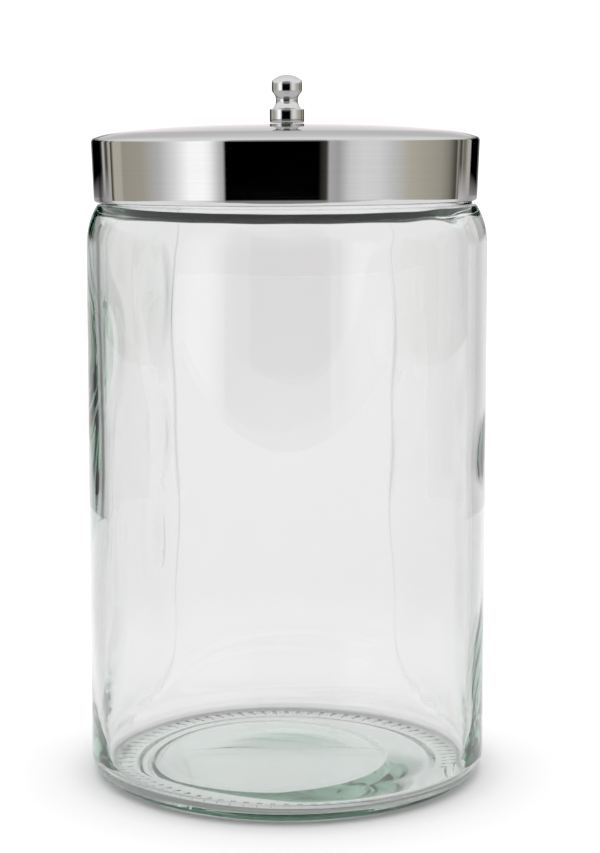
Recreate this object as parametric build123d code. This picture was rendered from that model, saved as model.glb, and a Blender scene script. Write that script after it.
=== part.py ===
from build123d import *
import os
from math import asin, cos, degrees, radians, sin, sqrt, tan

# A moulded glass jar with a lift-off sheet-metal lid, in millimetres.
# The origin is the middle of the foot, on the surface that the jar stands on, with +Z up.
# Outlines are drawn as (radius, height) and turned once about Z.

# --- Jar, outside ---
rim_height = 174.0  # foot to the top of the lip
neck_radius = 49.8  # the straight neck that the lid drops over
shoulder_step = 4.2  # how far the body stands out past the neck
shoulder_radius = 20.0  # the soft curve at the top of the body
ledge_radius = 1.2  # the tight corner where the shoulder turns in under the lid
ledge_width = 0.3  # flat between that corner and the neck
base_flare = 0.5  # how much wider the body is at the heel
heel_width = 6.0  # the heel is a quarter of an ellipse
heel_height = 5.3

# --- Jar, inside ---
body_wall = 3.2
neck_wall = 3.4
lip_rounding = 1.5
floor_thickness = 3.0  # at the bearing ring
floor_corner = 3.0  # rounding where the floor meets the wall
floor_dome_radius = 40.0  # the floor domes up over the recess
floor_dome_rise = 2.4
inner_shoulder_drop = 8.0  # the inner wall leans in over this height below the ledge
inner_shoulder_radius = 15.0
inner_neck_radius = 5.0

# --- Jar, underside ---
recess_radius = 41.0  # the shallow recess inside the bearing ring
recess_taper = 1.5
recess_depth = 0.7
scar_radius = 32.0  # the domed push-up left by the baffle plate, a little off centre
scar_rise = 1.3
scar_offset = 5.0
knurl_count = 80  # short radial grip marks in the bearing ring
knurl_circle = 45.0
knurl_length = 2.6
knurl_width = 0.5
knurl_depth = 0.25

# --- Lid ---
sheet = 0.6
lid_clearance = 0.5  # hem to neck, all round
skirt_clearance = 0.8  # lower edge to the glass ledge
seat_gap = 0.4  # crown to lip
skirt_taper = 2.1  # degrees, narrowing downwards
skirt_height = 15.8  # lower edge to the middle of the corner's rounding
hem_height = 2.6
lid_corner = 1.2
crown_flat = 20.0  # radius within which the crown is nearly flat
crown_radius = 700.0
crown_slope = 45.0  # radius out to which it slopes away
crown_slope_radius = 300.0
crown_roll_radius = 24.0  # the roll down to the corner

# --- Knob ---
knob_foot_radius = 4.63
knob_foot_height = 3.65
knob_foot_chamfer = 0.3
knob_flare_radius = 4.15  # where the waist's curve meets the foot
knob_waist_radius = 2.94
knob_head_radius = 4.07
knob_chin = 0.3  # slope under the head
knob_waist_height = 4.55
knob_head_height = 2.65
knob_dome = 1.6

# --- Fastening: an M3 pan-head screw with its washers ---
screw_radius = 1.5
screw_length = 8.0
screw_head_radius = 2.8
screw_head_height = 2.0
screw_head_rounding = 0.9
driver_slot = 0.7
driver_reach = 3.2
driver_depth = 1.1
thread_clearance = 0.05
thread_runout = 0.8  # tapped depth past the screw's end
sheet_hole_clearance = 0.2
flat_washer_radius = 3.5
flat_washer_thickness = 0.5
lock_washer_radius = 3.1
lock_washer_thickness = 0.8
lock_washer_split = 0.8
washer_hole_clearance = 0.1

OVERRUN = 1.0  # how far a cutter passes the face it opens


def turned(*edges):
    """The solid of one closed outline of (radius, height) edges, turned about Z."""
    return revolve(make_face(Plane.XZ * (Curve() + list(edges))), Axis.Z)


def dome_arc(radius, base, rise):
    """Arc of a spherical cap, from its rim at a height up to the axis."""
    sphere = (radius**2 + rise**2) / (2 * rise)
    middle = base + rise - sphere + sqrt(sphere**2 - (radius / 2) ** 2)
    return ThreePointArc((radius, base), (radius / 2, middle), (0, base + rise))


def placed_cylinder(radius, low, high):
    """An upright cylinder on the Z axis between two heights."""
    return Pos(0, 0, (low + high) / 2) * Cylinder(radius, high - low)


# --- The lid's section, above its own lower edge ---
# A skirt that leans in, a rounded corner and a crown of three arcs, each tangent to the next.
lean = radians(skirt_taper)
skirt_foot_radius = neck_radius + lid_clearance + 2 * sheet
corner_x = skirt_foot_radius + (skirt_height - sheet) * tan(lean) - lid_corner / cos(lean)
flat_angle = asin(crown_flat / crown_radius)
slope_x = crown_flat * (1 - crown_slope_radius / crown_radius)
slope_angle = asin((crown_slope - slope_x) / crown_slope_radius)
roll_x = crown_slope - crown_roll_radius * sin(slope_angle)
roll_angle = asin((corner_x - roll_x) / (crown_roll_radius - lid_corner))
roll_z = skirt_height - (crown_roll_radius - lid_corner) * cos(roll_angle)
slope_z = roll_z - (crown_slope_radius - crown_roll_radius) * cos(slope_angle)
lid_height = slope_z - (crown_radius - crown_slope_radius) * cos(flat_angle) + crown_radius


def skirt_point(inset, height):
    """The point of the skirt that lies inset inside its outer face, at a height."""
    corner_side = corner_x + (lid_corner - inset) * cos(lean)
    corner_drop = skirt_height - (lid_corner - inset) * sin(lean)
    return corner_side - (corner_drop - height) * tan(lean), height


def crown_edges(inset):
    """The crown's three arcs and the corner, from the axis outwards, inset from the outer face."""
    arcs = [
        ((0, lid_height - crown_radius), crown_radius, 0, flat_angle),
        ((slope_x, slope_z), crown_slope_radius, flat_angle, slope_angle),
        ((roll_x, roll_z), crown_roll_radius, slope_angle, roll_angle),
        ((corner_x, skirt_height), lid_corner, roll_angle, radians(90) + lean),
    ]
    return [
        CenterArc(centre, curve - inset, 90 - degrees(start), degrees(start - end))
        for centre, curve, start, end in arcs
    ]


def crown_underside(radius):
    """Height of the crown's inner face over the lip, above the lid's lower edge."""
    return roll_z + sqrt((crown_roll_radius - sheet) ** 2 - (radius - roll_x) ** 2)


# --- Heights that the jar and the lid share ---
lid_seat = rim_height + seat_gap - crown_underside(neck_radius - neck_wall / 2)
ledge_height = lid_seat - skirt_clearance
lid_apex = lid_seat + lid_height


def jar_body():
    """Outer form less the inside, the underside's recesses and the knurling."""
    body_radius = neck_radius + shoulder_step
    heel_radius = body_radius + base_flare
    foot_radius = heel_radius - heel_width
    curve_reach = shoulder_radius - ledge_radius
    shoulder_x = body_radius - shoulder_radius
    corner_x_outer = neck_radius + ledge_width
    turn = degrees(asin(sqrt(1 - ((corner_x_outer - shoulder_x) / curve_reach) ** 2)))
    shoulder_z = ledge_height - ledge_radius - curve_reach * sin(radians(turn))
    outer = turned(
        Line((0, 0), (foot_radius, 0)),
        EllipticalCenterArc(
            (foot_radius, heel_height), heel_width, heel_height, start_angle=-90, arc_size=90
        ),
        Line((heel_radius, heel_height), (body_radius, shoulder_z)),
        CenterArc((shoulder_x, shoulder_z), shoulder_radius, 0, turn),
        CenterArc((corner_x_outer, ledge_height - ledge_radius), ledge_radius, turn, 90 - turn),
        Line((corner_x_outer, ledge_height), (neck_radius, ledge_height)),
        Line((neck_radius, ledge_height), (neck_radius, rim_height)),
        Line((neck_radius, rim_height), (0, rim_height)),
        Line((0, rim_height), (0, 0)),
    )
    bore = neck_radius - neck_wall
    inner_top = ledge_height - inner_shoulder_drop
    inside = turned(
        FilletPolyline(
            (0, floor_thickness),
            (heel_radius - body_wall, floor_thickness),
            (body_radius - body_wall, inner_top),
            (bore, ledge_height),
            (bore, rim_height + OVERRUN),
            (0, rim_height + OVERRUN),
            radius=[0, floor_corner, inner_shoulder_radius, inner_neck_radius, 0, 0],
            close=True,
        )
    )
    floor_dome = turned(
        Line((0, floor_thickness / 2), (floor_dome_radius, floor_thickness / 2)),
        Line((floor_dome_radius, floor_thickness / 2), (floor_dome_radius, floor_thickness)),
        dome_arc(floor_dome_radius, floor_thickness, floor_dome_rise),
        Line((0, floor_thickness + floor_dome_rise), (0, floor_thickness / 2)),
    )
    glass = outer - inside + floor_dome
    glass = fillet(glass.edges().group_by(Axis.Z)[-1], lip_rounding)
    recess = turned(
        Line((0, -OVERRUN), (recess_radius, -OVERRUN)),
        Line((recess_radius, -OVERRUN), (recess_radius, 0)),
        Line((recess_radius, 0), (recess_radius - recess_taper, recess_depth)),
        Line((recess_radius - recess_taper, recess_depth), (0, recess_depth)),
        Line((0, recess_depth), (0, -OVERRUN)),
    )
    scar = turned(
        Line((0, 0), (scar_radius, 0)),
        Line((scar_radius, 0), (scar_radius, recess_depth)),
        dome_arc(scar_radius, recess_depth, scar_rise),
        Line((0, recess_depth + scar_rise), (0, 0)),
    )
    knurl = Pos(knurl_circle, 0, 0) * Box(knurl_length, knurl_width, 2 * knurl_depth)
    glass -= recess
    glass -= Pos(-scar_offset, 0, 0) * scar
    return glass - [turn_by * knurl for turn_by in PolarLocations(0, knurl_count)]


def lid_shell():
    """One drawn sheet: crown, corner, skirt, and a hem folded flat against the skirt's inside."""
    outer_arcs, inner_arcs = crown_edges(0), crown_edges(sheet)
    fold_x, fold_z = skirt_point(sheet, sheet)
    across, down = (cos(lean), -sin(lean)), (-sin(lean), -cos(lean))
    fold_out = (fold_x + sheet * across[0], fold_z + sheet * across[1])
    fold_in = (fold_x - sheet * across[0], fold_z - sheet * across[1])
    fold_low = (fold_x + sheet * down[0], fold_z + sheet * down[1])
    hem_top = skirt_point(2 * sheet, hem_height)
    hem_root = skirt_point(sheet, hem_height)
    shell = turned(
        *outer_arcs,
        Line(outer_arcs[-1] @ 1, fold_out),
        ThreePointArc(fold_out, fold_low, fold_in),
        Line(fold_in, hem_top),
        Line(hem_top, hem_root),
        Line(hem_root, inner_arcs[-1] @ 1),
        *inner_arcs,
        Line((0, lid_height - sheet), (0, lid_height)),
    )
    hole_radius = screw_radius + sheet_hole_clearance
    hole = placed_cylinder(hole_radius, lid_height - sheet - OVERRUN, lid_height + OVERRUN)
    return Pos(0, 0, lid_seat) * (shell - hole)


# --- The stack under the crown, from the washer's seat down ---
under_crown = crown_radius - sheet
washer_seat = lid_apex - crown_radius + sqrt(under_crown**2 - flat_washer_radius**2)
lock_seat = washer_seat - flat_washer_thickness
head_seat = lock_seat - lock_washer_thickness
screw_end = head_seat + screw_length


def lid_knob():
    """Turned knob: a drum foot, a pinched waist and a domed head, tapped from below."""
    waist_top = knob_foot_height + knob_waist_height
    chin_top = waist_top + knob_chin
    head_top = chin_top + knob_head_height
    waist_mid = (knob_foot_height + waist_top) / 2
    neck_top_radius = knob_head_radius - knob_chin / 2
    knob = turned(
        Line((0, 0), (knob_foot_radius - knob_foot_chamfer, 0)),
        Line((knob_foot_radius - knob_foot_chamfer, 0), (knob_foot_radius, knob_foot_chamfer)),
        Line((knob_foot_radius, knob_foot_chamfer), (knob_foot_radius, knob_foot_height)),
        Line((knob_foot_radius, knob_foot_height), (knob_flare_radius, knob_foot_height)),
        ThreePointArc(
            (knob_flare_radius, knob_foot_height),
            (knob_waist_radius, waist_mid),
            (neck_top_radius, waist_top),
        ),
        Line((neck_top_radius, waist_top), (knob_head_radius, chin_top)),
        Line((knob_head_radius, chin_top), (knob_head_radius, head_top)),
        dome_arc(knob_head_radius, head_top, knob_dome),
        Line((0, head_top + knob_dome), (0, 0)),
    )
    tapped_depth = screw_end - lid_apex + thread_runout
    tapped = placed_cylinder(screw_radius + thread_clearance, -OVERRUN, tapped_depth)
    return Pos(0, 0, lid_apex) * (knob - tapped)


def knob_screw():
    """Pan-head screw, head down, with a cross slot in its head."""
    head_low = head_seat - screw_head_height
    head = placed_cylinder(screw_head_radius, head_low, head_seat)
    head = fillet(head.edges().group_by(Axis.Z)[0], screw_head_rounding)
    slot = Pos(0, 0, head_low) * Box(driver_reach, driver_slot, 2 * driver_depth)
    shank = placed_cylinder(screw_radius, head_seat, screw_end)
    return head + shank - slot - Rot(0, 0, 90) * slot


def flat_washer():
    """Plain washer against the crown's underside."""
    bore = placed_cylinder(screw_radius + washer_hole_clearance, lock_seat, washer_seat)
    return placed_cylinder(flat_washer_radius, lock_seat, washer_seat) - bore


def lock_washer():
    """Split spring washer, flattened between the screw's head and the plain washer."""
    bore_radius = screw_radius + washer_hole_clearance
    ring = placed_cylinder(lock_washer_radius, head_seat, lock_seat)
    ring -= placed_cylinder(bore_radius, head_seat, lock_seat)
    split = Box(2 * lock_washer_radius, lock_washer_split, 2 * lock_washer_thickness)
    return ring - Pos(lock_washer_radius, 0, lock_seat) * split


pieces = {
    "jar_body": jar_body(),
    "lid_shell": lid_shell(),
    "lid_knob": lid_knob(),
    "knob_screw": knob_screw(),
    "flat_washer": flat_washer(),
    "lock_washer": lock_washer(),
}

os.makedirs("parts", exist_ok=True)
for name, piece in pieces.items():
    export_step(piece, f"parts/{name}.step")
    print(name, round(piece.volume, 1), piece.bounding_box())
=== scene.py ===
import bpy
import numpy as np
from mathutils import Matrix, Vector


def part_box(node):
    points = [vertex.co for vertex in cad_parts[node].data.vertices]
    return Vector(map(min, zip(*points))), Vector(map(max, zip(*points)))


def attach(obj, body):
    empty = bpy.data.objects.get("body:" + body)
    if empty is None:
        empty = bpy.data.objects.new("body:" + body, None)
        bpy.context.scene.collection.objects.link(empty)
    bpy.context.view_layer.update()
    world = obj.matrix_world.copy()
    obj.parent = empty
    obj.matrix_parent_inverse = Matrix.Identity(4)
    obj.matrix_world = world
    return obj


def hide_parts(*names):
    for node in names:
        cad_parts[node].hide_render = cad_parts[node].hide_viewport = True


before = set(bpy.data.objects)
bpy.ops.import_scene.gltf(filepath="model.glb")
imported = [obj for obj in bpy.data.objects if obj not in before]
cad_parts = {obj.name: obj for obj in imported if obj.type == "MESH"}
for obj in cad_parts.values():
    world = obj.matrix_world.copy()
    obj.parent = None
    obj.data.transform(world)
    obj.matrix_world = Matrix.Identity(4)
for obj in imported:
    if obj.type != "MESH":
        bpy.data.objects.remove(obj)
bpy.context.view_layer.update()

MM = 0.001  # every size of a piece is in millimetres, and every mesh is in metres


# ---------------------------------------------------------------------------
# The jar: one piece of blown soda-lime glass. A two-part mould shapes the outside,
# so only the inside runs thick and thin. The foot has a shallow recess, the round
# mark of the baffle plate a little off centre, and a ring of short grip marks.
# ---------------------------------------------------------------------------

def line(start, end, count):
    """Points evenly spaced on a straight run, without its end: start (1 - t) + end t."""
    t = np.linspace(0, 1, count, endpoint=False)[:, None]
    return np.array(start) * (1 - t) + np.array(end) * t


def arc(centre, reach, start, end, count, height=None):
    """Points on an arc or an ellipse's arc, without its end: centre + (reach cos a, height sin a)."""
    a = np.radians(np.linspace(start, end, count, endpoint=False))
    tall = reach if height is None else height
    return np.stack([centre[0] + reach * np.cos(a), centre[1] + tall * np.sin(a)], 1)


def dome_radius(half_width, rise):
    """The radius of an arc from half its width and its rise: (half_width² + rise²) / (2 rise)."""
    return (half_width**2 + rise**2) / (2 * rise)


def turned_piece(name, radius, height, shift=0.0, loop=False):
    """A profile carried round Z: point(i, j) = (shift_i + r_ij cos a_j, r_ij sin a_j, h_ij).

    An open profile ends in a pole at each end. The UV map's v is the length along the profile."""
    rows, turns = radius.shape
    around = np.linspace(0, 2 * np.pi, turns, endpoint=False)
    centre = np.broadcast_to(np.asarray(shift, float).reshape(-1, 1), (rows, 1))
    points = np.stack([centre + radius * np.cos(around), radius * np.sin(around), height], -1)
    steps = np.hypot(np.diff(radius.mean(1)), np.diff(height.mean(1)))
    run = np.concatenate([[0], np.cumsum(steps)])
    index = np.arange(rows * turns).reshape(rows, turns)
    if not loop:
        index[0], index[-1] = index[0, 0], index[-1, 0]
    upper = np.roll(index, -1, 0) if loop else index[1:]
    lower = index if loop else index[:-1]
    quads = np.stack([lower, np.roll(lower, -1, 1), np.roll(upper, -1, 1), upper], -1)
    # At a pole two corners of each quad are one point, which leaves a triangle.
    faces = [list(dict.fromkeys(quad)) for quad in quads.reshape(-1, 4).tolist()]
    used = np.unique(index)
    place = np.zeros(rows * turns, int)
    place[used] = np.arange(len(used))
    faces = [place[face].tolist() for face in faces]
    mesh = bpy.data.meshes.new(name)
    mesh.from_pydata((points.reshape(-1, 3)[used] * MM).tolist(), [], faces)
    corner = np.zeros(len(mesh.loops), np.int32)
    mesh.loops.foreach_get("vertex_index", corner)
    along = np.repeat(run, turns)[used][corner] * MM
    layer = mesh.uv_layers.new(name="profile")
    layer.data.foreach_set("uv", np.stack([np.zeros_like(along), along], 1).ravel())
    mesh.shade_smooth()
    piece = bpy.data.objects.new(name, mesh)
    bpy.context.scene.collection.objects.link(piece)
    return piece


# Radii and heights from the outside in: heel, body, neck and ledge, then the inside and the foot.
JAR_TURNS = 640
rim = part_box("jar_body")[1].z / MM
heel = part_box("jar_body")[1].x / MM
body, foot, heel_high = heel - 0.5, heel - 6.0, 5.3
lid_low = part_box("lid_shell")[0].z / MM
neck, ledge = body - 4.2, lid_low - 0.8
shoulder_round, edge_round, edge_x, lip_round = 20.0, 1.2, neck + 0.3, 1.5
bore, neck_foot, throat_round = neck - 3.4, ledge + 1.0, 9.0
inner, inner_round, wall_top = body - 3.2, 17.0, ledge - 11.4
inner_low, corner_round = inner + 0.5, 3.0
floor_top, floor_crown = 3.0, 2.4
scar, scar_rise, scar_shift = 32.0, 1.3, -5.0
recess, recess_high = 41.0, 0.7
knurl_inner, knurl_outer, knurl_high = 43.7, 46.3, 0.8

# The shoulder's large round and the small one at its edge meet at one slope.
rounds_apart = shoulder_round - edge_round
shoulder_turn = np.degrees(np.arccos((edge_x - body + shoulder_round) / rounds_apart))
shoulder_low = ledge - edge_round - rounds_apart * np.sin(np.radians(shoulder_turn))
scar_ball = dome_radius(scar, scar_rise)
scar_r = scar * np.linspace(0, 1, 9) ** 0.8
scar_z = recess_high + scar_rise - scar_ball + np.sqrt(scar_ball**2 - scar_r**2)
floor_r = np.array([39.0, 37.0, 34.5, 32.0, 29.0, 26.0, 22.0, 18.0, 12.0, 6.0, 0.0])
underside = [
    np.stack([scar_r, scar_z], 1),
    [(scar + 0.05, recess_high - 0.02), (scar + 0.3, recess_high)],
    [(36.0, recess_high), (39.3, recess_high), (39.7, recess_high - 0.08), (40.8, 0.1)],
    [(41.1, 0.0), (42.4, 0.0), (knurl_inner, 0.0), (knurl_inner + 0.3, 0.0), (45.0, 0.0)],
    [(knurl_outer - 0.3, 0.0), (knurl_outer, 0.0)],
]
outside = [
    arc((foot, heel_high), heel - foot, -90, 0, 14, height=heel_high),
    line((heel, heel_high), (body, shoulder_low), 3),
    arc((body - shoulder_round, shoulder_low), shoulder_round, 0, shoulder_turn, 9),
    arc((edge_x, ledge - edge_round), edge_round, shoulder_turn, 90, 5),
    [(edge_x, ledge), (neck + 0.1, ledge), (neck, ledge + 0.15)],
    line((neck, neck_foot), (neck, rim - lip_round), 2),
    arc((neck - lip_round, rim - lip_round), lip_round, 0, 90, 5),
]
inside = [
    arc((bore + lip_round, rim - lip_round), lip_round, 90, 180, 5),
    line((bore, rim - lip_round), (bore, neck_foot), 2),
    arc((bore + throat_round, neck_foot), throat_round, 180, 207, 5),
    arc((inner - inner_round, wall_top), inner_round, 28, 0, 8),
    line((inner, wall_top), (inner_low, floor_top + corner_round), 46),
    arc((inner_low - corner_round, floor_top + corner_round), corner_round, 0, -90, 10),
    [(inner_low - corner_round, floor_top), (45.0, floor_top), (42.0, floor_top)],
    [(40.5, floor_top + 0.05)],
    np.stack([floor_r, floor_top + floor_crown * (1 - (floor_r / 40) ** 3)], 1),
]
profile = np.concatenate([np.asarray(run, float) for run in underside + outside + inside])
outside_start = sum(len(run) for run in underside)
inner_start = outside_start + sum(len(run) for run in outside)
row_r, row_z = profile[:, :1], profile[:, 1:]
row_number = np.arange(len(profile))[:, None]
around = np.linspace(0, 2 * np.pi, JAR_TURNS, endpoint=False)[None, :]
bearing = np.degrees(np.arctan2(np.cos(around), np.sin(around)))


def hump(x, middle, half):
    """A smooth hump of height 1: exp(-((x - middle) / half)²)."""
    return np.exp(-(((x - middle) / half) ** 2))


def eased_step(t):
    """A smooth step from 0 to 1: t² (3 - 2t), with t kept from 0 to 1."""
    t = np.clip(t, 0, 1)
    return t * t * (3 - 2 * t)


# The inside's thick and thin places. Each swell is a smooth hump of extra glass: its bearing
# from the back in degrees (positive to the right), its height, its two half sizes and its depth.
swells = np.array([
    (-84, 116, 12, 14, 2.8), (-51, 130, 5.5, 16, 3.6), (-48.5, 88, 2.5, 6, 1.4),
    (-51, 58, 2.5, 10, 1.8), (92, 88, 14, 9, 0.5), (95, 25, 16, 16, 0.6),
    (-95, 88, 12, 22, 0.5), (150, 60, 40, 60, 0.25),
])
swell_bearing, swell_z, half_wide, half_tall, swell_depth = swells.T[:, :, None, None]
off_middle = (bearing - swell_bearing + 180) % 360 - 180
humps = hump(off_middle, 0, half_wide) * hump(row_z, swell_z, half_tall)
waves = -(humps * swell_depth).sum(0)
# Two long steps run down the back wall, where the glass is thicker towards the sides. Two
# drop-like places thicken the right-hand one, and both turn outwards and deepen at the foot.
step_edge = np.where(bearing < 0, 40.3, 37.2) + 50 * np.exp(-(row_z - 5) / 5)
step_edge = step_edge + 1.0 * np.sin(row_z / 15) + 0.5 * np.sin(row_z / 6.3 + 1)
drops = (hump(row_z, 111, 8) + hump(row_z, 80, 9)) * hump(bearing, 41, 7)
past_edge = (np.abs(bearing) - step_edge) / (2.6 + 2.2 * drops)
died_out = (np.abs(bearing) - 58 - 40 * hump(row_z, 0, 20)) / 32
step_depth = 1.0 + 1.3 * drops + 1.3 * hump(row_z, 0, 32)
waves -= step_depth * eased_step(past_edge) * (1 - eased_step(died_out))
# Slight waves all round.
waves += 0.06 * np.cos(5 * around + 2.0 + row_z / 30) + 0.05 * np.sin(row_z / 14 + np.cos(around))
on_inner_wall = (row_number >= inner_start) & (row_z > floor_top + 2)
fade = np.clip((row_z - floor_top - 1) / 4, 0, 1) * np.clip((rim - 8 - row_z) / 14, 0, 1)
jar_r = row_r + np.where(on_inner_wall, waves * fade, 0.0)
# The pressed shoulder is a little uneven all round, and most at the front right.
at_shoulder = hump(row_z, ledge - 5, 4) * (row_number >= inner_start)
rough_spot = 1 + 3 * hump(np.abs(bearing), 130, 14) * (bearing > 0)
uneven = 0.05 * np.sin(7 * around + 1) + 0.04 * np.sin(17 * around + row_z / 2) * rough_spot
jar_r = jar_r + at_shoulder * uneven
# Fine laps run round the inside corner.
in_corner = (row_number > inner_start) & (row_r > 45)
in_corner = in_corner & (row_z > floor_top) & (row_z < floor_top + 6)
corner_laps = 0.16 * np.sin(1.9 * row_number + 1.5 * np.sin(2 * around))
jar_r = jar_r + np.where(in_corner, corner_laps, 0.0)
# Fainter laps run round the heel, and die out below the wall.
on_heel = (row_number < inner_start) & (row_r > foot) & (row_z < 4.3)
heel_fade = np.clip((row_z - 0.2) / 0.8, 0, 1) * np.clip((4.3 - row_z) / 1.5, 0, 1)
heel_laps = 0.1 * heel_fade * (1 + np.sin(1.9 * row_number + 2 * np.sin(3 * around)))
jar_r = jar_r - np.where(on_heel, heel_laps, 0.0)

# The inside floor sags a little to the front.
on_floor = (row_number > inner_start) & (row_r < 42)
sag = 0.02 * row_r * np.sin(around) * (1 - (row_r / 42) ** 2)
# Grip marks: each is one raised spoke in eight, between two circles of the bearing ring.
spoke = (np.arange(JAR_TURNS)[None, :] % 8) == 0
in_ring = (row_number < inner_start) & (row_z == 0) & (row_r > knurl_inner) & (row_r < knurl_outer)
jar_z = row_z + np.where(spoke & in_ring, knurl_high, 0.0) + np.where(on_floor, sag, 0.0)

# The baffle mark's rings are centred to one side, and the rings outside it drift back.
drift = np.clip((recess - row_r) / (recess - scar), 0, 1)
centre_shift = np.where(row_number < outside_start, scar_shift * drift, 0.0)

jar = turned_piece("glass_jar", jar_r, jar_z, shift=centre_shift[:, 0])


def new_material(name):
    """A material, its node tree and its Principled shader."""
    material = bpy.data.materials.new(name)
    material.use_nodes = True
    return material, material.node_tree, material.node_tree.nodes["Principled BSDF"]


def add_node(tree, kind, inputs=None, **settings):
    """A shader node with its settings, and with a value or a link put into each input named."""
    node = tree.nodes.new("ShaderNode" + kind)
    for setting, value in settings.items():
        setattr(node, setting, value)
    for socket, value in (inputs or {}).items():
        if isinstance(value, bpy.types.NodeSocket):
            tree.links.new(value, node.inputs[socket])
        else:
            node.inputs[socket].default_value = value
    return node


glass, tree, shader = new_material("jar_glass")
shader.inputs["Base Color"].default_value = (1, 1, 1, 1)
shader.inputs["Roughness"].default_value = 0.0
shader.inputs["IOR"].default_value = 1.52
shader.inputs["Transmission Weight"].default_value = 1.0
depth_tint = add_node(tree, "VolumeAbsorption", {"Color": (0.83, 0.90, 0.863, 1), "Density": 100.0})
tree.links.new(depth_tint.outputs[0], tree.nodes["Material Output"].inputs["Volume"])
jar.data.materials.append(glass)
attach(jar, "jar")
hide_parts("jar_body")


# ---------------------------------------------------------------------------
# The lid: a cap drawn from one sheet of stainless steel, brushed round the skirt,
# with its lower edge folded flat inside. It drops loosely over the neck.
# ---------------------------------------------------------------------------

LID_TURNS = 512
SHEET = 0.6
LEAN = np.radians(2.1)
skirt_tall, hem_tall, hem_gap, screw_hole = 15.8, 2.6, 0.5, 1.7
# The crown's arcs from the middle outwards: each has its radius, its centre and its end's slope.
flat_arc, slope_arc, roll_arc, corner_arc = 700.0, 300.0, 24.0, 1.2
flat_end, slope_end = 20.0, 45.0
hem_x = neck + hem_gap + 2 * SHEET
corner_x = hem_x + (skirt_tall - SHEET) * np.tan(LEAN) - corner_arc / np.cos(LEAN)
flat_slope = np.arcsin(flat_end / flat_arc)
slope_x = flat_end * (1 - slope_arc / flat_arc)
mid_slope = np.arcsin((slope_end - slope_x) / slope_arc)
roll_x = slope_end - roll_arc * np.sin(mid_slope)
roll_slope = np.arcsin((corner_x - roll_x) / (roll_arc - corner_arc))
corner_z = lid_low + skirt_tall
roll_z = corner_z - (roll_arc - corner_arc) * np.cos(roll_slope)
slope_z = roll_z - (slope_arc - roll_arc) * np.cos(mid_slope)
flat_z = slope_z - (flat_arc - slope_arc) * np.cos(flat_slope)


def crown(inset):
    """The cap's section from the screw hole to the top of the skirt, inset from its outer face."""
    hole_slope = np.arcsin(screw_hole / flat_arc)
    stops = 90 - np.degrees([hole_slope, flat_slope, mid_slope, roll_slope, np.pi / 2 + LEAN])
    return [
        arc((0, flat_z), flat_arc - inset, stops[0], stops[1], 8),
        arc((slope_x, slope_z), slope_arc - inset, stops[1], stops[2], 8),
        arc((roll_x, roll_z), roll_arc - inset, stops[2], stops[3], 8),
        arc((corner_x, corner_z), corner_arc - inset, stops[3], stops[4], 9),
    ]


def skirt(inset, height):
    """The point of the skirt at a height above its lower edge, inset from its outer face."""
    top_x = corner_x + (corner_arc - inset) * np.cos(LEAN)
    top_z = corner_z - (corner_arc - inset) * np.sin(LEAN)
    return top_x - (top_z - lid_low - height) * np.tan(LEAN), lid_low + height


hem_leaf = np.concatenate([
    line(skirt(2 * SHEET, SHEET), skirt(2 * SHEET, hem_tall - 0.1), 4),
    [skirt(2 * SHEET, hem_tall - 0.1), skirt(1.9 * SHEET, hem_tall), skirt(SHEET, hem_tall)],
])
fold_start = -np.degrees(LEAN)
outer_face = np.concatenate(crown(0) + [
    line(skirt(0, skirt_tall - 0.1), skirt(0, SHEET), 14),
    arc(skirt(SHEET, SHEET), SHEET, fold_start, fold_start - 180, 10),
    hem_leaf,
])
inner_face = np.concatenate(crown(SHEET) + [
    line(skirt(SHEET, skirt_tall - 0.1), skirt(SHEET, hem_tall + 0.1), 5),
])
section = np.concatenate([inner_face, outer_face[::-1]])
lid_r = np.repeat(section[:, :1], LID_TURNS, 1)
# A loose lid never sits quite level or central: this one is a little to its left, and low there,
# down to the rim. Height = section's height + tilt (x - level_x).
tilt, level_x, lid_shift = 0.005, 32.0, -0.4
lid_around = np.linspace(0, 2 * np.pi, LID_TURNS, endpoint=False)
lid_z = section[:, 1:] + tilt * (lid_r * np.cos(lid_around) - level_x)
lid = turned_piece("steel_lid", lid_r, lid_z, shift=lid_shift, loop=True)


def maths(tree, operation, *values):
    """The result of a Math node, from values or other nodes' results."""
    return add_node(tree, "Math", dict(enumerate(values)), operation=operation).outputs[0]


def mixed(tree, share, first, second):
    """The colour that lies between two others by a share."""
    inputs = {"Factor": share, "A": first, "B": second}
    return add_node(tree, "Mix", inputs, data_type="RGBA").outputs["Result"]


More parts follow.
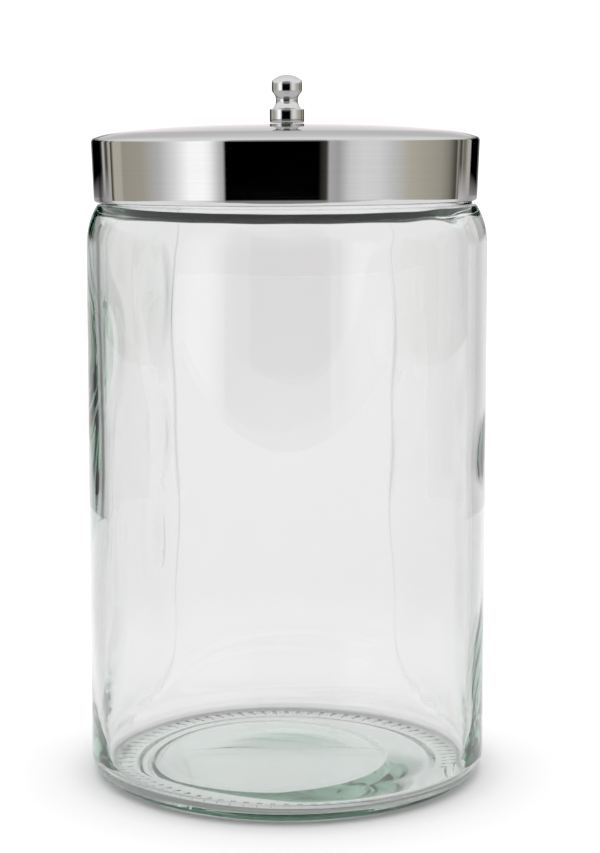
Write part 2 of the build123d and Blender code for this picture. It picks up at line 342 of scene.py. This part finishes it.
def fine_lines_group():
    """Node group: fine tool lines round a turned or brushed piece, from the profile's length.

    Height = noise over (x, y, profile length x Lines), so that it runs round the axis without a seam."""
    group = bpy.data.node_groups.new("fine_lines", "ShaderNodeTree")
    usual = {"Lines": 4000.0, "Drift": 12.0, "Depth": 0.1, "Dull": 0.1, "Rough": 0.15}
    for name, value in usual.items():
        socket = group.interface.new_socket(name, in_out="INPUT", socket_type="NodeSocketFloat")
        socket.default_value = value
    for name, kind in (("Mask", "Float"), ("Roughness", "Float"), ("Normal", "Vector")):
        group.interface.new_socket(name, in_out="OUTPUT", socket_type="NodeSocket" + kind)
    given, out = group.nodes.new("NodeGroupInput"), group.nodes.new("NodeGroupOutput")
    place = add_node(group, "SeparateXYZ", {0: add_node(group, "TexCoord").outputs["Object"]})
    run = add_node(group, "SeparateXYZ", {0: add_node(group, "UVMap", uv_map="profile").outputs[0]})
    # What each axis of the noise follows, and the input that says how finely.
    axes = ((place.outputs[0], "Drift"), (place.outputs[1], "Drift"), (run.outputs[1], "Lines"))
    joined = add_node(group, "CombineXYZ", {
        axis: maths(group, "MULTIPLY", source, given.outputs[scale])
        for axis, (source, scale) in enumerate(axes)
    })
    grain = add_node(group, "TexNoise", {"Vector": joined.outputs[0], "Scale": 1.0, "Detail": 4.0})
    height = grain.outputs[0]
    relief = {"Strength": given.outputs["Depth"], "Distance": 0.00002, "Height": height}
    rough = maths(group, "MULTIPLY_ADD", height, given.outputs["Dull"], given.outputs["Rough"])
    group.links.new(height, out.inputs["Mask"])
    group.links.new(rough, out.inputs["Roughness"])
    group.links.new(add_node(group, "Bump", relief).outputs[0], out.inputs["Normal"])
    return group


fine_lines = fine_lines_group()


def metal(name, light, dark, lines, drift, depth, dull, rough, tint_82=1.0):
    """A metal whose tool lines vary its tint between two greys, its roughness and its normal.

    tint_82 is the share that it reflects at a grazing angle."""
    material, tree, shader = new_material(name)
    shader.inputs["Metallic"].default_value = 1.0
    shader.inputs["Specular Tint"].default_value = (tint_82, tint_82, tint_82, 1)
    tooling = {"Lines": lines, "Drift": drift, "Depth": depth, "Dull": dull, "Rough": rough}
    marks = add_node(tree, "Group", tooling, node_tree=fine_lines)
    tint = mixed(tree, marks.outputs["Mask"], (dark, dark, dark, 1), (light, light, light, 1))
    tree.links.new(tint, shader.inputs["Base Color"])
    tree.links.new(marks.outputs["Roughness"], shader.inputs["Roughness"])
    tree.links.new(marks.outputs["Normal"], shader.inputs["Normal"])
    return material


brushed = metal("brushed_steel", 0.68, 0.6, 5000, 12, 0.1, 0.04, 0.015, tint_82=0.6)
# Inside the cap the steel is tinted near black: painted shade, since the inside lies in shadow.
pressed_and_shaded = metal("pressed_inside_painted_shade", 0.1, 0.05, 3000, 12, 0.1, 0.1, 0.15)
lid.data.materials.append(brushed)
lid.data.materials.append(pressed_and_shaded)
# The section's rows start inside: the inner face and the hem's leaf are as pressed, rougher than the
# brushed face, and tinted near black, painted shade for the shadowed inside of the cap.
face_row = np.arange(len(lid.data.polygons)) // LID_TURNS
shaded_pressed_rows = face_row < len(inner_face) + len(hem_leaf)
lid.data.polygons.foreach_set("material_index", shaded_pressed_rows.astype(np.int32))
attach(lid, "lid")
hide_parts("lid_shell")


# ---------------------------------------------------------------------------
# The knob: turned from one bar and bright plated, with a drum foot, a pinched
# waist and a domed head. A screw from below holds it on the crown.
# ---------------------------------------------------------------------------

KNOB_TURNS = 192
knob_low, knob_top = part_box("lid_knob")[0].z / MM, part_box("lid_knob")[1].z / MM
hole, drum, head, head_rise = 1.55, 4.63, 4.07, 1.6
waist, waist_ends = 2.94, (4.15 + 3.92) / 2
waist_low, waist_high = knob_low + 3.65, knob_low + 8.2
waist_half = (waist_high - waist_low) / 2
waist_circle = dome_radius(waist_half, waist_ends - waist)
waist_centre = (waist + waist_circle, (waist_low + waist_high) / 2)
waist_reach = np.degrees(np.arcsin(waist_half / waist_circle))
head_low = knob_top - head_rise
head_sphere = dome_radius(head, head_rise)
head_reach = np.degrees(np.arcsin(head / head_sphere))
knob_section = np.concatenate([
    [(0.0, knob_low + 6.7), (hole - 0.05, knob_low + 6.7), (hole, knob_low + 6.6)],
    line((hole, knob_low + 6.5), (hole, knob_low + 0.2), 3),
    [(hole + 0.05, knob_low), (4.2, knob_low), (4.33, knob_low)],
    line((4.4, knob_low + 0.06), (4.6, knob_low + 0.27), 2),
    line((drum, knob_low + 0.35), (drum, waist_low - 0.15), 4),
    arc((drum - 0.15, waist_low - 0.15), 0.15, 0, 90, 4),
    [(drum - 0.15, waist_low), (4.25, waist_low)],
    arc(waist_centre, waist_circle, 180 + waist_reach, 180 - waist_reach, 18),
    [(4.0, waist_high + 0.05), (4.04, waist_high + 0.2), (head, waist_high + 0.3)],
    line((head, waist_high + 0.4), (head, head_low - 0.1), 3),
    arc((0, knob_top - head_sphere), head_sphere, 90 - head_reach * 0.985, 90, 12),
    [(0.0, knob_top)],
])
knob_r = np.repeat(knob_section[:, :1], KNOB_TURNS, 1)
knob_z = np.repeat(knob_section[:, 1:], KNOB_TURNS, 1)
knob = turned_piece("turned_knob", knob_r, knob_z)
plating = metal("bright_plating", 0.74, 0.6, 3000, 30, 0.2, 0.08, 0.04, tint_82=0.7)
knob.data.materials.append(plating)
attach(knob, "lid")
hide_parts("lid_knob")


# ---------------------------------------------------------------------------
# The fastening under the crown: a pan-head screw, a split washer and a plain one,
# all zinc plated. They keep their own meshes.
# ---------------------------------------------------------------------------

zinc, tree, shader = new_material("zinc_plating")
shader.inputs["Metallic"].default_value = 1.0
zinc_place = add_node(tree, "TexCoord").outputs["Object"]
bloom = add_node(tree, "TexNoise", {"Vector": zinc_place, "Scale": 900.0}).outputs[0]
for socket, low, high in (
    ("Base Color", (0.5, 0.5, 0.5, 1), (0.72, 0.72, 0.7, 1)),
    ("Roughness", (0.2, 0.2, 0.2, 1), (0.42, 0.42, 0.42, 1)),
):
    tree.links.new(mixed(tree, bloom, low, high), shader.inputs[socket])
for node in ("knob_screw", "flat_washer", "lock_washer"):
    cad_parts[node].data.materials.clear()
    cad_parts[node].data.materials.append(zinc)


# ---------------------------------------------------------------------------
# The studio: a white sweep, a bright ceiling and back, two soft side panels and
# dark boards that draw the edges of the glass and the steel. Its sizes are in metres.
# ---------------------------------------------------------------------------

# The sweep lies a hair below the foot, so that the two never share a plane.
SWEEP_Z = -0.00008
SIDE, FRONT, BACK = 1.2, -0.7, 1.8
sweep = bpy.data.meshes.new("sweep")
corners = [(-SIDE, FRONT, SWEEP_Z), (SIDE, FRONT, SWEEP_Z), (SIDE, BACK, SWEEP_Z), (-SIDE, BACK, SWEEP_Z)]
sweep.from_pydata(corners, [], [(0, 1, 2, 3)])
floor = bpy.data.objects.new("sweep", sweep)
bpy.context.scene.collection.objects.link(floor)


def ranged(tree, source, start, end, low=0.0, high=1.0, curve="SMOOTHSTEP"):
    """A value that goes from low to high as the source goes from start to end."""
    inputs = {"Value": source, "From Min": start, "From Max": end, "To Min": low, "To Max": high}
    return add_node(tree, "MapRange", inputs, interpolation_type=curve).outputs["Result"]


paper, tree, shader = new_material("white_paper")
paper_place = add_node(tree, "TexCoord").outputs["Object"]
distance = add_node(tree, "VectorMath", {0: paper_place}, operation="LENGTH").outputs["Value"]
paper_xyz = add_node(tree, "SeparateXYZ", {0: paper_place}).outputs
# Painted shade: paper met by light that has come through the glass is greyer, and greyer still where the
# glass bends light aside, beside and behind the foot.
off_side = maths(tree, "ABSOLUTE", paper_xyz[0])
off_side = maths(tree, "MULTIPLY_ADD", paper_xyz[1], -0.31, off_side)
painted_shade_share = ranged(tree, off_side, 0.06, 0.11)
for start, end in ((-0.02, 0.05), (0.55, 0.35)):
    painted_shade_share = maths(tree, "MULTIPLY", painted_shade_share, ranged(tree, paper_xyz[1], start, end))
shade_through_glass = mixed(tree, painted_shade_share, (0.752, 0.708, 0.729, 1), (0.592, 0.56, 0.576, 1))
# Only light from the glass sees this painted shade; to other light the paper is plain.
paper_path = add_node(tree, "LightPath")
from_glass = maths(tree, "GREATER_THAN", paper_path.outputs["Transmission Depth"], 0.5)
paper_with_glass_shade = mixed(tree, from_glass, (0.91, 0.905, 0.91, 1), shade_through_glass)
# The paper is brighter near the foot and darker outwards, painted light that lifts the jar's real shade
# there, with a soft painted shadow round the foot.
painted_light_near_foot = ranged(tree, distance, 0.06, 0.25, 0.98, 0.82)
shadow = ranged(tree, distance, 0.05, 0.064, 0.86, 1.0)
painted_light_and_shadow = maths(tree, "MULTIPLY", painted_light_near_foot, shadow)
paper_colour = mixed(tree, painted_light_and_shadow, (0, 0, 0, 1), paper_with_glass_shade)
tree.links.new(paper_colour, shader.inputs["Base Color"])
shader.inputs["Roughness"].default_value = 1.0
shader.inputs["Specular IOR Level"].default_value = 0.0
# Under the foot the paper glows, painted light in place of the light that the thick glass gathers there.
painted_glow_under_foot = ranged(tree, distance, 0.044, 0.0525, 0.45, 0.0)
tree.links.new(painted_glow_under_foot, shader.inputs["Emission Strength"])
shader.inputs["Emission Color"].default_value = (1, 1, 1, 1)
sweep.materials.append(paper)

WHITE, WARM, LILAC = (1.0, 1.0, 1.0), (1.0, 0.94, 0.79), (1.065, 1.0, 1.035)
# Each stop: degrees round from the camera's side, positive to the right, brightness, colour.
left_stops = [
    (-180, 1.1, LILAC), (-168, 1.1, LILAC), (-165, 0.35, WHITE), (-156, 0.25, WHITE),
    (-154, 0.0, WHITE), (-134, 0.0, WHITE), (-131, 0.06, WHITE), (-129, 0.75, WHITE),
    (-127, 0.75, WHITE), (-125.5, 0.15, WARM), (-122.5, 0.1, WARM), (-120.5, 0.66, WARM),
    (-112, 0.62, WARM), (-110, 0.46, WARM), (-92, 0.49, WARM), (-78, 0.64, WHITE),
    (-67, 1.0, WHITE), (-57, 1.42, WHITE), (-48, 1.44, WHITE), (-44, 1.28, WHITE),
    (-38, 0.7, WHITE), (-35.6, 0.58, WHITE), (-34.6, 0.0, WHITE), (19.5, 0.0, WHITE),
    (20.5, 0.02, WARM), (24.4, 0.07, WARM), (25.5, 0.58, WHITE), (31, 0.5, WHITE),
    (38, 0.85, WHITE), (46, 0.95, WHITE),
]
right_stops = [
    (46, 0.95, WHITE), (56, 0.92, WHITE), (66, 0.74, WHITE), (78, 0.6, WARM),
    (104, 0.46, WARM), (112, 0.33, WARM), (118.5, 0.12, WARM), (120.6, 0.1, WARM),
    (121.8, 0.5, WARM), (123.2, 0.25, WARM), (126, 0.32, WARM), (130, 0.75, WARM),
    (134, 0.75, WHITE), (135.5, 0.0, WHITE), (153, 0.0, WHITE), (156, 0.2, WHITE),
    (165, 0.3, WHITE), (168, 1.1, LILAC), (180, 1.1, LILAC),
]
through_stops = [
    (-180, 0.854, LILAC), (-160, 0.834, LILAC), (-157, 0.786, LILAC), (-154, 0.757, LILAC),
    (-149, 0.718, LILAC), (-142, 0.563, LILAC), (-137, 0.12, WHITE), (-131, 0.45, WHITE),
    (-105, 0.85, WHITE), (-85, 1.05, WHITE), (85, 1.05, WHITE), (105, 0.85, WHITE),
    (128, 0.679, LILAC), (137, 0.601, LILAC), (142, 0.679, LILAC), (149, 0.776, LILAC),
    (155, 0.834, LILAC), (159, 0.854, LILAC), (180, 0.854, LILAC),
]


def studio_ring_group():
    """Node group: the panels and boards that stand round the part, by their bearing from it.

    Bearing = arctangent of x over -y. The softer set is for light that comes out of the glass:
    from everywhere when it has come straight through, else only from behind."""
    group = bpy.data.node_groups.new("studio_ring", "ShaderNodeTree")
    for name, way, kind in (
        ("Direction", "INPUT", "Vector"),
        ("Glass", "INPUT", "Float"),
        ("Straight", "INPUT", "Float"),
        ("Color", "OUTPUT", "Color"),
    ):
        group.interface.new_socket(name, in_out=way, socket_type="NodeSocket" + kind)
    given, out = group.nodes.new("NodeGroupInput"), group.nodes.new("NodeGroupOutput")
    xyz = add_node(group, "SeparateXYZ", {0: given.outputs["Direction"]}).outputs
    round_it = maths(group, "ARCTAN2", xyz[0], maths(group, "MULTIPLY", xyz[1], -1.0))
    azimuth = maths(group, "MULTIPLY", round_it, 180 / np.pi)

    def ramp(stops):
        """The colour at the bearing, from stops. A colour ramp holds 32 at most."""
        low, high = stops[0][0], stops[-1][0]
        share = maths(group, "DIVIDE", maths(group, "SUBTRACT", azimuth, low), high - low)
        node = add_node(group, "ValToRGB", {0: share})
        elements = node.color_ramp.elements
        while len(elements) < len(stops):
            elements.new(0.5)
        for element, (place, level, tint) in zip(elements, stops):
            element.position = (place - low) / (high - low)
            element.color = (*(level * c for c in tint), 1)
        return node.outputs[0]

    on_right = maths(group, "GREATER_THAN", azimuth, right_stops[0][0])
    ring = mixed(group, on_right, ramp(left_stops), ramp(right_stops))
    behind = maths(group, "GREATER_THAN", maths(group, "ABSOLUTE", azimuth), 100.0)
    behind = maths(group, "MULTIPLY", given.outputs["Glass"], behind)
    softened = maths(group, "MAXIMUM", given.outputs["Straight"], behind)
    group.links.new(mixed(group, softened, ring, ramp(through_stops)), out.inputs["Color"])
    return group


studio_ring = studio_ring_group()


def ring_colour(tree, direction, soft=None):
    """The ring's colour in a tree, soft for light that comes out of glass, or where soft says so.

    It comes with the light path, and with 1 for light that has come straight through glass."""
    path = add_node(tree, "LightPath")
    entered = maths(tree, "GREATER_THAN", path.outputs["Transmission Depth"], 0.5)
    unbounced = maths(tree, "LESS_THAN", path.outputs["Glossy Depth"], 0.5)
    straight = maths(tree, "MULTIPLY", entered, unbounced)
    in_glass = maths(tree, "MAXIMUM", entered, soft) if soft else entered
    inputs = {"Direction": direction, "Glass": in_glass, "Straight": straight}
    ring = add_node(tree, "Group", inputs, node_tree=studio_ring)
    return ring.outputs["Color"], path.outputs, straight


world = bpy.data.worlds.new("studio")
bpy.context.scene.world = world
world.use_nodes = True
tree = world.node_tree
direction = add_node(tree, "TexCoord").outputs["Generated"]
sides, path, straight = ring_colour(tree, direction)
direction_xyz = add_node(tree, "SeparateXYZ", {0: direction}).outputs
# In front the dark room reaches higher up before the ceiling begins.
room_high = ranged(tree, direction_xyz[1], -0.45, -1.0, 0.0, 0.66, curve="LINEAR")
over_room = maths(tree, "SUBTRACT", direction_xyz[2], room_high)
ceiling_low, ceiling_full = np.sin(np.radians(10)), np.sin(np.radians(16))
overhead = ranged(tree, over_room, ceiling_low, ceiling_full)
# In the steel, some of the ceiling's light reaches down over that room.
spill = ranged(tree, direction_xyz[2], 0.07, 0.22, 0.0, 0.3, curve="LINEAR")
in_steel = maths(tree, "MULTIPLY", spill, path["Is Glossy Ray"])
roof = maths(tree, "MAXIMUM", in_steel, overhead)
ceiling = mixed(tree, path["Is Glossy Ray"], (1.6, 1.6, 1.6, 1), (1.0, 1.0, 1.0, 1))
sky = mixed(tree, roof, sides, ceiling)
# The room below the table's front edge is a little brighter than the boards above it, except
# to light that has come straight through the glass.
low_down = ranged(tree, direction_xyz[2], -0.11, -0.15, curve="LINEAR")
ahead = ranged(tree, direction_xyz[1], -0.3, -0.6, 0.0, 0.6, curve="LINEAR")
below = maths(tree, "MULTIPLY", low_down, ahead)
below = maths(tree, "MULTIPLY", below, maths(tree, "SUBTRACT", 1.0, straight))
lifted = mixed(tree, below, sky, (0.5, 0.5, 0.5, 1))
plain = mixed(tree, path["Is Camera Ray"], lifted, (1.15, 1.15, 1.15, 1))
tree.links.new(plain, tree.nodes["Background"].inputs["Color"])
world.cycles.sampling_method = "MANUAL"
world.cycles.sample_map_resolution = 2048

# Two curved cards stand on the sweep behind the part, one at each side, out of the camera's sight:
# point = (reach sin a, -reach cos a, 0 or the card's height), with a in degrees from the front.
CARD_REACH, CARD_HIGH, COLUMNS = 0.42, 0.24, 26
cards = bpy.data.meshes.new("side_cards")
spans = np.radians(np.linspace(118, 167, COLUMNS))
turn = np.concatenate([spans, -spans])
low = np.stack([CARD_REACH * np.sin(turn), -CARD_REACH * np.cos(turn), 0 * turn], 1)
points = np.concatenate([low, low + (0, 0, CARD_HIGH)])
first = np.concatenate([np.arange(COLUMNS - 1), np.arange(COLUMNS, 2 * COLUMNS - 1)])
above = first + 2 * COLUMNS
quads = np.stack([first, first + 1, above + 1, above], 1)
cards.from_pydata(points.tolist(), [], quads.tolist())
side_cards = bpy.data.objects.new("side_cards", cards)
bpy.context.scene.collection.objects.link(side_cards)
card, tree, shader = new_material("side_card")
card_place = add_node(tree, "TexCoord").outputs["Object"]
card_z = add_node(tree, "SeparateXYZ", {0: card_place}).outputs[2]
card_soft = ranged(tree, card_z, 0.135, 0.15, 1.0, 0.0, curve="LINEAR")
card_colour = ring_colour(tree, card_place, card_soft)[0]
glow = add_node(tree, "Emission", {"Color": card_colour})
tree.links.new(glow.outputs[0], tree.nodes["Material Output"].inputs["Surface"])
cards.materials.append(card)
side_cards.visible_camera = side_cards.visible_diffuse = side_cards.visible_shadow = False

LOOK_DOWN = 8.17
camera = bpy.data.cameras.new("camera")
camera.lens = 84.37
camera.clip_end = 20.0
viewer = bpy.data.objects.new("camera", camera)
viewer.location = (0.0035, -0.543, 0.1732)
viewer.rotation_euler = (np.radians(90 - LOOK_DOWN), 0, 0)
bpy.context.scene.collection.objects.link(viewer)
bpy.context.scene.camera = viewer
bpy.context.scene.view_settings.view_transform = "Standard"
# Light that is caught in the glass by total reflection needs many turns before it comes out green.
light_paths = bpy.context.scene.cycles
light_paths.max_bounces = light_paths.glossy_bounces = light_paths.transmission_bounces = 32
